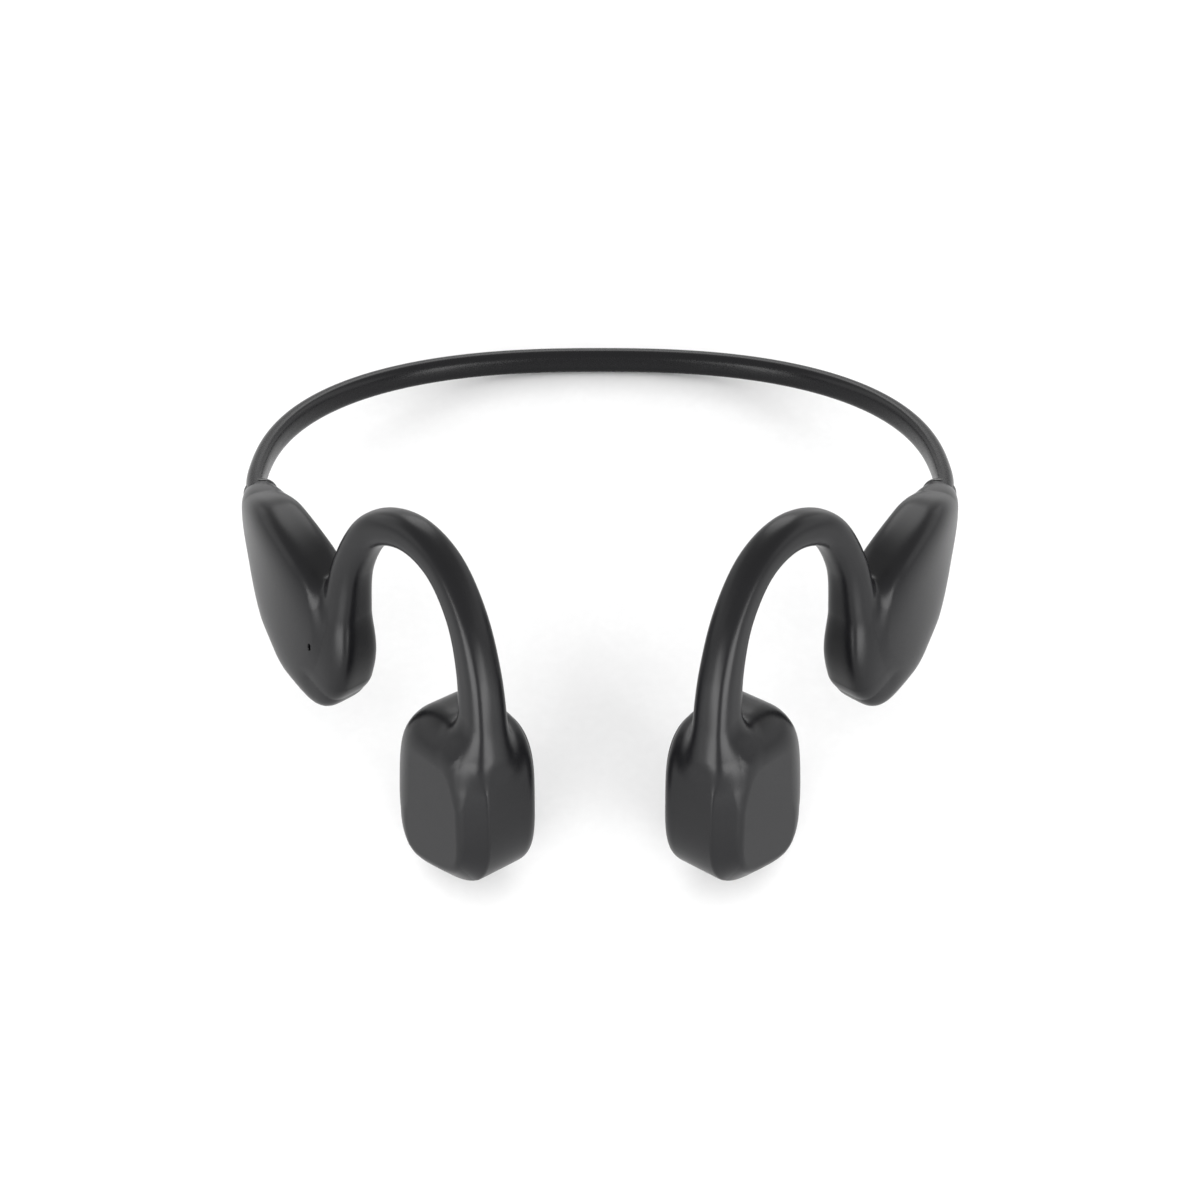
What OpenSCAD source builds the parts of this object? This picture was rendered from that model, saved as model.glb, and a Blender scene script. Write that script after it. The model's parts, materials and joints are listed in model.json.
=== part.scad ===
// Bone conduction headphones.
// A sprung neckband runs behind the head to two pods.  From each pod a hook goes over the ear
// and down to a transducer that rests on the cheekbone.
// The shape is drawn as worn, with the band level, and then turned to the pose in which it
// rests on a table: on both transducers and on the back of the band.
// The wearer faces -Y.  The left arm is drawn, and the right arm is its mirror image.

/* [Layout] */
// Distance of each pod's rear end from the middle plane
pod_x = 67.6; // [66:0.1:69]
// Distance of each pod's rear end behind the ear axis
pod_y = 5; // [4:0.1:6]
// Height of the level band above the ear axis
band_z = 21.5; // [21:0.1:22]
// Distance of the band's back from the ear axis
band_back = 72; // [70:0.5:75]
// Nose-down angle of the headset when it rests on a table
rest_pitch = 22.7; // [22:0.1:23.5]

/* [Neckband] */
// Height of the band's section
band_height = 5.5; // [5.2:0.1:5.8]
// Thickness of the band's section
band_thickness = 3.8; // [3.6:0.1:4.1]
// Diameter of the memory wire in the band
memory_wire_d = 1.0; // [0.8:0.1:1.1]
// Diameter of the cable that joins the two pods
link_cable_d = 1.2; // [1:0.1:1.3]

/* [Arms] */
// Thickness of the moulded walls
wall = 1.4; // [1.2:0.1:1.5]
// Diameter of the spring wire in each ear hook
hook_wire_d = 1.2; // [1:0.1:1.3]
// Diameter of the driver's cable in each ear hook
driver_cable_d = 1.1; // [0.9:0.1:1.2]

/* [Transducer] */
// Width of the transducer's housing, front to back
driver_width = 25.6; // [25:0.1:26]
// Height of the transducer's housing
driver_height = 33.6; // [33:0.1:34]
// Diameter of the magnet's steel cup
cup_d = 15.2; // [14.6:0.1:15.4]
// Diameter of the magnet
magnet_d = 9.2; // [8.8:0.1:9.4]
// Outer diameter of the voice coil
coil_d = 12.2; // [12:0.1:12.3]

/* [Keys and charging contacts] */
// Length of each key along the pod's lower edge
key_length = 6; // [5.4:0.1:6.1]
// Width of each key across the pod
key_width = 2.8; // [2.4:0.1:2.9]
// Diameter of the two gold charging pins
pin_d = 1.6; // [1.2:0.1:1.8]
// Diameter of the two magnets that hold the charging lead
dock_magnet_d = 3.2; // [2.8:0.1:3.4]

/* [Hidden] */

charcoal = "#2e2f31";
soft_black = "#1d1e20";

// The arm bends inwards in plan as it runs forwards: its heading from straight ahead goes from
// heading_0 to heading_1 over bend_1, stays, and eases back to heading_2 by ease_end.
heading_0 = 12;
heading_1 = 47;
heading_2 = 39;
bend_1 = 34;
ease_start = 54;
ease_end = 74;
radius_1 = bend_1 / ((heading_1 - heading_0) * PI / 180);
radius_2 = (ease_end - ease_start) / ((heading_1 - heading_2) * PI / 180);

function heading(s) =
    s < 0 ? heading_0
    : s < bend_1 ? heading_0 + (heading_1 - heading_0) * s / bend_1
    : s < ease_start ? heading_1
    : s < ease_end ? heading_1 - (heading_1 - heading_2) * (s - ease_start) / (ease_end - ease_start)
    : heading_2;

// Plan position of the arm's middle sheet at distance s along it, as straights and arcs
function arc_step(r, a, b) = [-r * (cos(a) - cos(b)), -r * (sin(b) - sin(a))];
function run_step(a, length) = [-sin(a) * length, -cos(a) * length];
function plan(s) =
    [pod_x, pod_y]
    + run_step(heading_0, min(s, 0))
    + arc_step(radius_1, heading_0, heading(min(max(s, 0), bend_1)))
    + run_step(heading_1, min(max(s - bend_1, 0), ease_start - bend_1))
    + arc_step(-radius_2, heading_1, s > ease_start ? heading(min(s, ease_end)) : heading_1)
    + run_step(heading_2, max(s - ease_end, 0));

// A point of the flat pattern [along, up, outwards] carried to the bent arm
function bent(q) =
    let (p = plan(q[0]), h = heading(q[0]))
    [p[0] + q[2] * cos(h), p[1] - q[2] * sin(h), q[1]];

// Smooth curve through rows of numbers, with count steps between rows
function between(a, b, c, d, t) =
    0.5 * (2 * b + (c - a) * t + (2 * a - 5 * b + 4 * c - d) * t * t
    + (3 * b - a - 3 * c + d) * t * t * t);
function through(rows, count) =
    let (n = len(rows) - 1, all = concat([2 * rows[0] - rows[1]], rows, [2 * rows[n] - rows[n - 1]]))
    [for (i = [0 : n - 1], j = [0 : count - 1]) between(all[i], all[i + 1], all[i + 2], all[i + 3], j / count),
     rows[n]];

// Superellipse: an oval whose corners grow squarer as the power rises above 2
function sign_pow(v, e) = sign(v) * pow(abs(v), e);
function oval(a, b, power, t) = [a * sign_pow(cos(t), 2 / power), b * sign_pow(sin(t), 2 / power)];

// Middle of a ring, and the direction that its points turn about
function sum_of(v, i = 0) = i == len(v) - 1 ? v[i] : v[i] + sum_of(v, i + 1);
function middle(ring) = sum_of(ring) / len(ring);
function turn_axis(ring) =
    let (c = middle(ring), k = len(ring))
    sum_of([for (j = [0 : k - 1]) cross(ring[j] - c, ring[(j + 1) % k] - c)]);

// Solid from a list of rings, each a list of points in the same order round the ring
module skin(rings) {
    k = len(rings[0]);
    n = len(rings);
    outward = (middle(rings[1]) - middle(rings[0])) * turn_axis(rings[0]) > 0;
    ordered = outward ? rings : [for (r = rings) [for (j = [k - 1 : -1 : 0]) r[j]]];
    sides = [for (i = [0 : n - 2], j = [0 : k - 1])
        [i * k + j, (i + 1) * k + j, (i + 1) * k + (j + 1) % k, i * k + (j + 1) % k]];
    first = [for (j = [0 : k - 1]) j];
    last = [for (j = [k - 1 : -1 : 0]) (n - 1) * k + j];
    polyhedron(points = [for (r = ordered) each r], faces = concat([first], sides, [last]));
}

// Booleans of ringed solids are worked out as one mesh
module meshed() {
    resize([0, 0, 0]) children();
}

// ---- Arm: rows of [along, up, outwards, half width in the sheet, half thickness, power] ----

pod_rows = [
    [-1, 20.6, 0.5, 3.6, 3.5, 2.3],
    [5, 20.4, 0.3, 6.6, 4.3, 2.8],
    [13, 17.3, 0, 11, 5, 3.5],
    [22, 11, 0, 14.2, 5.5, 3.5],
    [29.5, 4, 0, 14, 5.5, 3.2],
    [33.5, -1.5, 0, 9.8, 5, 2.6],
    [35, -3.4, 0, 7, 3.6, 2.4]
];
hook_rows = [
    [32, -8, 0, 2.6, 2, 2.2],
    [32.4, -6.4, 0, 5.4, 4, 2.4],
    [33.2, -3, 0, 6.9, 5.2, 2.5],
    [35.8, 5, 0, 5.5, 5, 2.4],
    [38, 14, 0, 4.1, 4.2, 2.2],
    [41, 25, 0, 3.5, 3.6, 2.2],
    [47.5, 34.3, 0, 3.4, 3.4, 2.2],
    [57, 37.2, 0, 3.4, 3.4, 2.2],
    [66.2, 34, 0, 3.4, 3.4, 2.2],
    [72.8, 26, 0, 3.4, 3.4, 2.2],
    [76.2, 16, 0, 3.6, 3.6, 2.2],
    [77.5, 2, 0, 4, 4, 2.2]
];

function way(rows, i) =
    let (n = len(rows) - 1, d = rows[min(i + 1, n)] - rows[max(i - 1, 0)])
    [d[0], d[1]] / norm([d[0], d[1]]);

// Rings of an arm's stretch, pulled in from its surface by inset
function arm_rings(rows, sides, inset = 0) = [
    for (i = [0 : len(rows) - 1])
        let (r = rows[i], w = way(rows, i))
        [for (j = [0 : sides - 1])
            let (p = oval(r[3] - inset, r[4] - inset, r[5], 360 * j / sides))
            bent([r[0] + p[0] * w[1], r[1] - p[0] * w[0], r[2] + p[1]])]
];

// Round strand along the hook, moved forwards in the section by shift
function strand_rings(rows, shift, diameter, sides = 8) = [
    for (i = [0 : len(rows) - 1])
        let (r = rows[i], w = way(rows, i))
        [for (j = [0 : sides - 1])
            bent([
                r[0] + (shift + diameter / 2 * cos(360 * j / sides)) * w[1],
                r[1] - (shift + diameter / 2 * cos(360 * j / sides)) * w[0],
                r[2] + diameter / 2 * sin(360 * j / sides)
            ])]
];

pod_path = through(pod_rows, 4);
hook_path = through(hook_rows, 4);
cavity_path = [for (r = pod_path) if (r[0] > 4.2) r];
channel_path = [for (r = hook_path) if (r[1] > -2) r];
strand_path = [for (i = [2 : len(channel_path) - 2]) channel_path[i]];

// ---- Placing things on the arm ----

// Child frame at a point of the sheet: X forwards, Y outwards, Z up
module on_arm(s, up, out = 0) {
    p = bent([s, up, out]);
    translate(p) rotate([0, 0, -90 - heading(s)]) children();
}

driver_s = 70;
driver_up = -12;
driver_heading = 41;

// Child frame at the transducer's middle: X forwards, Y outwards, Z up
module on_driver() {
    p = bent([driver_s, driver_up, 0]);
    translate(p) rotate([0, 0, -90 - driver_heading]) children();
}

// A point of the pod's lower edge, at row number t of its path, as [along, up]
function edge_point(t) =
    let (i = floor(t), f = t - i, w0 = way(pod_path, i), w1 = way(pod_path, i + 1))
    let (a = pod_path[i], b = pod_path[i + 1])
    let (p = [a[0] + a[3] * w0[1], a[1] - a[3] * w0[0]], q = [b[0] + b[3] * w1[1], b[1] - b[3] * w1[0]])
    p + (q - p) * f;

// Child frame on the pod's lower edge: X forwards along it, Y towards the head, Z out of it
module on_edge(t) {
    p = edge_point(t);
    d = edge_point(t + 0.5) - edge_point(t - 0.5);
    on_arm(p[0], p[1]) rotate([0, -atan2(d[1], d[0]), 0]) rotate([180, 0, 0]) children();
}

module for_side(right) {
    if (right) {
        mirror([1, 0, 0]) children();
    } else {
        children();
    }
}

// Straight block with round ends, length along X, width along Y
module pill(length, width, z0, z1) {
    translate([0, 0, z0]) linear_extrude(z1 - z0) hull() {
        translate([(length - width) / 2, 0]) circle(d = width, $fn = 20);
        translate([-(length - width) / 2, 0]) circle(d = width, $fn = 20);
    }
}

module centred(size) {
    translate([-size[0] / 2, -size[1] / 2, -size[2] / 2]) cube(size);
}

// ---- Band ----

band_power = 2.4;
section_power = 2.6;
end_radius = 40;
band_end = bent([0, band_z, 1.6]);
band_x = band_end[0] + end_radius * (1 - cos(heading_0));
widest_y = band_end[1] + end_radius * sin(heading_0);
hinge_turn = 26;
knuckle_r = band_thickness / 2;
knuckle_gap = 0.18;
// The bore's facets are turned so that none ends on an edge of the band's own facets
knuckle_turn = 6.5;

// Centre line in plan: a superellipse's quarter from the back to the widest place
function back_point(t) =
    [band_x * sign_pow(sin(t), 2 / band_power),
     widest_y + (band_back - widest_y) * sign_pow(cos(t), 2 / band_power)];
// then an arc into the collar
function end_point(a) = [band_x - end_radius * (1 - cos(a)), widest_y - end_radius * sin(a)];

hinge_point = back_point(hinge_turn);
mouth_points = [for (s = [1.2, 2.6]) let (p = bent([s, band_z, 1.5])) [p[0], p[1]]];
side_line = concat(
    [for (i = [0 : 16]) back_point(hinge_turn + (90 - hinge_turn) * i / 16)],
    [for (a = [4, 8, 12]) end_point(a)],
    mouth_points
);
half_back = [for (i = [1 : 6]) back_point(hinge_turn * i / 6)];
back_line = concat(
    [for (i = [5 : -1 : 0]) [-half_back[i][0], half_back[i][1]]],
    [[0, band_back]],
    half_back
);

function plan_way(line, i) =
    let (n = len(line) - 1, d = line[min(i + 1, n)] - line[max(i - 1, 0)])
    d / norm(d);

// Rings of a tube along a plan line, at height up, with half thickness a and half height b
function band_rings(line, up, a, b, power, sides) = [
    for (i = [0 : len(line) - 1])
        let (w = plan_way(line, i))
        [for (j = [0 : sides - 1])
            let (p = oval(a, b, power, 360 * j / sides))
            [line[i][0] + p[0] * w[1], line[i][1] - p[0] * w[0], up + p[1]]]
];

module band_solid(line, grow = 0) {
    skin(band_rings(line, band_z, band_thickness / 2 + grow, band_height / 2 + grow, section_power, 16));
}

wire_drop = -1.15;
cable_rise = 1.1;
bore_gap = 0.15;

module band_bores(line) {
    wire_r = memory_wire_d / 2 + bore_gap;
    cable_r = link_cable_d / 2 + bore_gap;
    skin(band_rings(line, band_z + wire_drop, wire_r, wire_r, 2, 8));
    skin(band_rings(line, band_z + cable_rise, cable_r, cable_r, 2, 8));
}

module at_hinge() {
    translate([hinge_point[0], hinge_point[1], band_z]) children();
}

// A line without its first or last few points
function part_of(line, skip_first, skip_last) =
    [for (i = [skip_first : len(line) - 1 - skip_last]) line[i]];

module knuckle_bore() {
    bore_height = band_height + 2;
    at_hinge() rotate(knuckle_turn) cylinder(r = knuckle_r + knuckle_gap, h = bore_height, center = true, $fn = 32);
}

// ---- Transducer ----

driver_power = 3.2;
driver_sides = 40;
inner_rim = -8;
outer_face = 8.2;
// Rows of [outwards, inset of the outline]: rim, side wall, crisp chamfer, flat face
housing_rows = [[inner_rim, 1], [inner_rim + 0.8, 0.3], [-5, 0], [4, 0], [outer_face - 0.2, 4], [outer_face, 4.3]];
cavity_rows = [[inner_rim - 1, wall + 0.6], [3.4, wall + 0.1], [outer_face - 1.6, 4 + wall * 0.9]];

function driver_outline(inset) = [
    for (j = [0 : driver_sides - 1])
        oval(driver_width / 2 - inset, driver_height / 2 - inset, driver_power, 360 * j / driver_sides)
];
function driver_world(q) =
    let (p = plan(driver_s), h = driver_heading)
    [p[0] - q[0] * sin(h) + q[1] * cos(h), p[1] - q[0] * cos(h) - q[1] * sin(h), q[2] + driver_up];

module driver_stack(rows) {
    skin([for (r = rows) [for (p = driver_outline(r[1])) [p[0], r[0], p[1]]]]);
}

// Disc or tube about the transducer's own axis, from y0 to y1
module driver_disc(d, y0, y1) {
    translate([0, y0, 0]) rotate([-90, 0, 0]) cylinder(d = d, h = y1 - y0, $fn = 48);
}

// ---- Resting pose ----

function seated(p) =
    [p[0], p[1] * cos(rest_pitch) + p[2] * sin(rest_pitch), p[2] * cos(rest_pitch) - p[1] * sin(rest_pitch)];
back_low = [for (r = band_rings(back_line, band_z, band_thickness / 2, band_height / 2, section_power, 16))
    each r];
driver_rim = driver_outline(0);
driver_low = [for (p = driver_rim, y = [-5, 4]) driver_world([p[0], y, p[1]])];
rest_lift = -min([for (p = concat(back_low, driver_low)) seated(p)[2]]);
rest_ends = [for (p = concat(back_low, driver_low)) seated(p)[1]];
rest_shift = -(min(rest_ends) + max(rest_ends)) / 2;

module seat() {
    translate([0, rest_shift, rest_lift]) rotate([-rest_pitch, 0, 0]) children();
}

// ---- Places in the pod ----

pack_s = 21.4;
pack_up = 13.4;
pack_turn = 38;
pod_face = -5.4;

// Child frame in the middle of the pod: X down its length, Y outwards
module in_pod(out = 0) {
    on_arm(pack_s, pack_up, out) rotate([0, pack_turn, 0]) children();
}

// Two children the given distance apart along X
module pair(apart) {
    for (side = [-0.5, 0.5]) translate([side * apart, 0, 0]) children();
}

// Child frame on the pod's head side: X down its length, Z towards the head
module on_dock() {
    in_pod(pod_face) rotate([90, 0, 0]) children();
}

// ---- Openings cut in the arm shell ----

cover_face = -3.2;
cover_gap = 0.1;
// The cover's rows lie half way between the pod's, so that no two section planes coincide
half_rows = [for (i = [0 : len(pod_path) - 2]) (pod_path[i] + pod_path[i + 1]) / 2];
cover_rows = [for (r = half_rows) if (r[0] > 5 && r[0] < 31) r];
key_plus_t = 6.6;
key_minus_t = 10.5;
key_call_t = 8.4;
mic_s = 32.9;
mic_up = 5.4;
mic_tilt = 12;
flange = 1.1;
dock_depth = 0.5;
dock_length = 12;
dock_width = 4.6;
pin_apart = 3;
magnet_apart = 8.4;

// Block that holds the cover's stretch of the pod's head side
module cover_region(grow) {
    rings = [for (i = [0 : len(cover_rows) - 1])
        let (r = cover_rows[i], w = way(cover_rows, i), a = r[3] - 2.2 + grow)
        let (run = i == 0 ? -grow : i == len(cover_rows) - 1 ? grow : 0)
        [for (c = [[a, cover_face + grow], [a, -12], [-a, -12], [-a, cover_face + grow]])
            bent([r[0] + c[0] * w[1] + run * w[0], r[1] - c[0] * w[0] + run * w[1], c[1]])]];
    skin(rings);
}

module pod_cavity() {
    skin(arm_rings(cavity_path, 20, wall));
}

module hook_channel() {
    skin(strand_rings(channel_path, 0, 4, 12));
}

module key_hole() {
    pill(key_length + 0.4, key_width + 0.4, -4, 3);
    pill(key_length + flange + 0.5, key_width + flange + 0.5, -5, -1.4);
}

module arm_body() {
    skin(arm_rings(pod_path, 24));
    skin(arm_rings(hook_path, 20));
    on_driver() driver_stack(housing_rows);
}

module arm_shell(right) {
    color(charcoal) meshed() difference() {
        union() arm_body();
        pod_cavity();
        hook_channel();
        on_driver() driver_stack(cavity_rows);
        cover_region(cover_gap);
        band_solid(part_of(side_line, 14, 0), 0.05);
        if (right) {
            on_edge(key_plus_t) key_hole();
            on_edge(key_minus_t) key_hole();
            on_arm(mic_s, mic_up, 3) rotate([0, mic_tilt, 0]) centred([0.6, 8, 1.4]);
        } else {
            on_edge(key_call_t) key_hole();
        }
    }
}

module pod_cover(right) {
    color(charcoal) meshed() difference() {
        intersection() {
            skin(arm_rings(pod_path, 24));
            cover_region(0);
        }
        pod_cavity();
        if (right) {
            on_dock() {
                pill(dock_length, dock_width, -dock_depth, 2);
                pair(pin_apart) translate([0, 0, -4]) cylinder(d = pin_d + 0.1, h = 6, $fn = 32);
            }
        }
    }
}

// Thin cords of rubber along both edges of the pod's mouth, inside the cover
module cover_seal() {
    rows = [for (r = cover_rows) if (r[0] > 11.5 && r[0] < 28) r];
    color("#111214") for (side = [-1, 1])
        skin([for (i = [0 : len(rows) - 1])
            let (r = rows[i], w = way(rows, i), a = side * 0.82 * (r[3] - wall), out = 0.62 * (wall - r[4]))
            [for (j = [0 : 5])
                let (c = 0.25 * [cos(60 * j), sin(60 * j)])
                bent([r[0] + (a + c[0]) * w[1], r[1] - (a + c[0]) * w[0], out + c[1]])]]);
}

// ---- Band pieces ----

// A line whose end points are carried outwards, so that no bore's ring lies in an end face
function lengthened(line) =
    let (n = len(line) - 1)
    concat([2 * line[0] - line[1]], part_of(line, 1, 1), [2 * line[n] - line[n - 1]]);

module band_sleeve() {
    color(soft_black) meshed() difference() {
        union() {
            band_solid(back_line);
            for (side = [-1, 1])
                translate([side * hinge_point[0], hinge_point[1], band_z])
                    cylinder(r = knuckle_r - 0.04, h = band_height * 0.7, center = true, $fn = 32);
        }
        band_bores(lengthened(back_line));
    }
}

module side_sleeve() {
    color(soft_black) meshed() difference() {
        band_solid(side_line);
        band_bores(lengthened(side_line));
        knuckle_bore();
    }
}

module middle_strand(up, d) {
    skin(band_rings(part_of(back_line, 1, 1), band_z + up, d / 2, d / 2, 2, 8));
}

module side_strand(up, d) {
    skin(band_rings(part_of(side_line, 1, 0), band_z + up, d / 2, d / 2, 2, 8));
}

module memory_wire() {
    color("silver") middle_strand(wire_drop, memory_wire_d);
}

module link_cable() {
    color("dimgray") middle_strand(cable_rise, link_cable_d);
}

module collar() {
    color("#0f1011") meshed() difference() {
        r = pod_rows[0];
        skin([for (row = [[-2.6, 0.35], [-2.2, 0.02], [-1.05, 0]])
            [for (j = [0 : 23])
                let (p = oval(r[3] - row[1], r[4] - row[1], r[5], 360 * j / 24))
                bent([row[0], r[1] - p[0], r[2] + p[1]])]]);
        band_solid(part_of(side_line, 13, 0), 0.05);
    }
}

// ---- Hook pieces ----

module hook_wire() {
    color("silver") skin(strand_rings(strand_path, 0.95, hook_wire_d));
}

module driver_cable() {
    color("dimgray") skin(strand_rings(strand_path, -0.95, driver_cable_d));
}

// ---- Transducer pieces, in the transducer's frame ----

cup_back = 6.2;
cup_mouth = 1.7;
cup_floor = 1.2;
plate_thickness = 1.1;
coil_front = -1.6;
plate_front = -3.1;

module magnet_cup() {
    color("gray") difference() {
        driver_disc(cup_d, cup_mouth, cup_back);
        driver_disc(cup_d - 2, cup_mouth - 1, cup_back - cup_floor);
    }
}

module magnet() {
    color("lightsteelblue") driver_disc(magnet_d, cup_mouth + plate_thickness, cup_back - cup_floor);
}

module pole_plate() {
    color("darkgray") driver_disc(magnet_d, cup_mouth, cup_mouth + plate_thickness);
}

module voice_coil() {
    color("peru") difference() {
        driver_disc(coil_d, coil_front, cup_back - cup_floor - 1.2);
        driver_disc(coil_d - 2, coil_front - 1, cup_back);
    }
}

module suspension() {
    color("goldenrod") difference() {
        skin([for (y = [-1.1, -0.8]) [for (p = driver_outline(wall + 0.35)) [p[0], y, p[1]]]]);
        driver_disc(coil_d + 1, -2, 2);
    }
}

module vibration_plate() {
    color("silver") driver_stack([[plate_front, 4.2], [coil_front, 4.2]]);
}

module contact_pad() {
    color(soft_black)
        driver_stack([[inner_rim - 1.6, 4.2], [inner_rim - 1.2, 3.1], [inner_rim, 2.6], [plate_front, 2.6]]);
}

// ---- Electronics ----

battery_size = [20, 4.4, 12];
board_size = [20, 0.8, 11];
shield_size = [8, 1.4, 8];

module battery() {
    color("lightgray") in_pod(0.1) centred(battery_size);
}

module protection_board() {
    color("darkgreen") in_pod(-3.1) centred([14, 0.6, 9]);
}

module battery_foam() {
    color("black") in_pod(2.6) centred([16, 0.5, 9]);
}

module main_board() {
    color("darkgreen") in_pod(-0.6) centred(board_size);
}

module radio_shield() {
    color("silver") in_pod(-0.6 + board_size[1] / 2 + shield_size[1] / 2) centred(shield_size);
}

module microphone() {
    color("gold") on_arm(mic_s, mic_up, 2.1) rotate([0, mic_tilt, 0]) centred([2.6, 1.1, 3.4]);
}

module mic_gasket() {
    color("black") on_arm(mic_s, mic_up, 3.1) rotate([0, mic_tilt, 0]) difference() {
        centred([2.6, 0.7, 3.4]);
        centred([1, 2, 1.8]);
    }
}

module charge_pins() {
    color("gold") on_dock()
        pair(pin_apart) translate([0, 0, -4.2]) cylinder(d = pin_d, h = 4, $fn = 32);
}

module dock_magnets() {
    color("silver") on_dock()
        pair(magnet_apart) translate([0, 0, -3]) cylinder(d = dock_magnet_d, h = 1.2, $fn = 32);
}

module key_cap(t) {
    color(soft_black) on_edge(t) {
        pill(key_length, key_width, -1.6, 0.6);
        pill(key_length + flange, key_width + flange, -2.3, -1.6);
    }
}

module key_switch(t) {
    color("lightgray") on_edge(t) {
        translate([0, 0, -3.9]) centred([4, 3, 1.2]);
        translate([0, 0, -3.3]) cylinder(d = 1.6, h = 0.5, $fn = 24);
    }
}

seat() band_sleeve();
seat() memory_wire();
seat() link_cable();
seat() for_side(false) side_sleeve();  // sleeve_left
seat() for_side(true) side_sleeve();  // sleeve_right
seat() color("silver") side_strand(wire_drop, memory_wire_d);  // memory_wire_left
seat() for_side(true) color("silver") side_strand(wire_drop, memory_wire_d);  // memory_wire_right
seat() color("dimgray") side_strand(cable_rise, link_cable_d);  // link_cable_left
seat() for_side(true) color("dimgray") side_strand(cable_rise, link_cable_d);  // link_cable_right
seat() collar();  // collar_left
seat() for_side(true) collar();  // collar_right
seat() arm_shell(false);  // arm_shell_left
seat() for_side(true) arm_shell(true);  // arm_shell_right
seat() pod_cover(false);  // pod_cover_left
seat() for_side(true) pod_cover(true);  // pod_cover_right
seat() cover_seal();  // cover_seal_left
seat() for_side(true) cover_seal();  // cover_seal_right
seat() hook_wire();  // hook_wire_left
seat() for_side(true) hook_wire();  // hook_wire_right
seat() driver_cable();  // driver_cable_left
seat() for_side(true) driver_cable();  // driver_cable_right
seat() on_driver() magnet_cup();  // magnet_cup_left
seat() for_side(true) on_driver() magnet_cup();  // magnet_cup_right
seat() on_driver() magnet();  // magnet_left
seat() for_side(true) on_driver() magnet();  // magnet_right
seat() on_driver() pole_plate();  // pole_plate_left
seat() for_side(true) on_driver() pole_plate();  // pole_plate_right
seat() on_driver() voice_coil();  // voice_coil_left
seat() for_side(true) on_driver() voice_coil();  // voice_coil_right
seat() on_driver() suspension();  // suspension_left
seat() for_side(true) on_driver() suspension();  // suspension_right
seat() on_driver() vibration_plate();  // vibration_plate_left
seat() for_side(true) on_driver() vibration_plate();  // vibration_plate_right
seat() on_driver() contact_pad();  // contact_pad_left
seat() for_side(true) on_driver() contact_pad();  // contact_pad_right
seat() battery();
seat() protection_board();
seat() battery_foam();
seat() for_side(true) main_board();
seat() for_side(true) radio_shield();
seat() for_side(true) microphone();
seat() for_side(true) mic_gasket();
seat() for_side(true) charge_pins();
seat() for_side(true) dock_magnets();
seat() for_side(true) key_cap(key_plus_t);  // key_plus
seat() for_side(true) key_cap(key_minus_t);  // key_minus
seat() key_cap(key_call_t);  // key_call
seat() for_side(true) key_switch(key_plus_t);  // switch_plus
seat() for_side(true) key_switch(key_minus_t);  // switch_minus
seat() key_switch(key_call_t);  // switch_call
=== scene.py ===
# %% [markdown]
# # Bone conduction headphones
# A sprung band runs behind the head to two pods.  A hook goes over each ear and down to a
# transducer that rests on the cheekbone.  This file dresses the CAD frame: each cell makes one
# piece or one finish, in metres in the end, though shapes are worked out in millimetres.

# %% Load the frame
import json
import math

import bpy
import numpy as np
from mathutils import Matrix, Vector


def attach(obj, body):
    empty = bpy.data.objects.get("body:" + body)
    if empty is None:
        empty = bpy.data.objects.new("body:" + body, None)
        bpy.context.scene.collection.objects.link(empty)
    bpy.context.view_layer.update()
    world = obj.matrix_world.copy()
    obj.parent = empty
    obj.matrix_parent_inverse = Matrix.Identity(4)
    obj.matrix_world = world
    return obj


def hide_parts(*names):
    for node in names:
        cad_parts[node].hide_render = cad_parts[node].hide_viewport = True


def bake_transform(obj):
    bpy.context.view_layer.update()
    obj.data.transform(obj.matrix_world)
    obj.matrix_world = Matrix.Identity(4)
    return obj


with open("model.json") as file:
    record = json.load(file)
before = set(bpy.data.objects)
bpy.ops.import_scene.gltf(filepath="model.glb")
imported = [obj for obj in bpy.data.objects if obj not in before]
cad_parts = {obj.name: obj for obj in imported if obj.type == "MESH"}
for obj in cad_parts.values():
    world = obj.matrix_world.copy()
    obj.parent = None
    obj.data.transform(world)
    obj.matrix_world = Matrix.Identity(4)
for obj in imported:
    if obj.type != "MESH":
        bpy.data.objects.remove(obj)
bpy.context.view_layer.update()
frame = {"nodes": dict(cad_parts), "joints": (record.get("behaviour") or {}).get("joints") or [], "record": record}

joints = {joint["name"]: joint for joint in frame["joints"]}

# %% [markdown]
# The headset is designed as worn, with its band level, and stands on the table tipped nose
# down.  The hinge inside the band is known in both frames, so it gives the shift between them.
# The arm is designed flat, as [along, up, outwards], and then bent inwards in plan; a running
# sum of small steps in the heading's direction gives the bent line without any special cases.

# %% Carry points from the flat pattern to the table
MM = 0.001
POD_START = (67.6, 5.0)
BAND_UP = 21.5
REST_PITCH = math.radians(22.7)
HEADING_AT = (0.0, 34.0, 54.0, 74.0)
HEADING_IS = np.radians((12.0, 47.0, 47.0, 39.0))
DRIVER_AT = (70.0, -12.0)
DRIVER_HEADING = math.radians(41)

fine_along = np.linspace(-60, 120, 18001)
fine_heading = np.interp(fine_along, HEADING_AT, HEADING_IS)


def running_sum(rate):
    """Area under rate from 0 to each fine_along: the mean of neighbours times the step, added up."""
    steps = (rate[1:] + rate[:-1]) / 2 * np.diff(fine_along)
    total = np.concatenate([[0], np.cumsum(steps)])
    return total - np.interp(0, fine_along, total)


fine_x = POD_START[0] - running_sum(np.sin(fine_heading))
fine_y = POD_START[1] - running_sum(np.cos(fine_heading))


def heading(along):
    """Angle from straight ahead, in radians, at a distance along the arm."""
    return np.interp(along, HEADING_AT, HEADING_IS)


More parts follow.
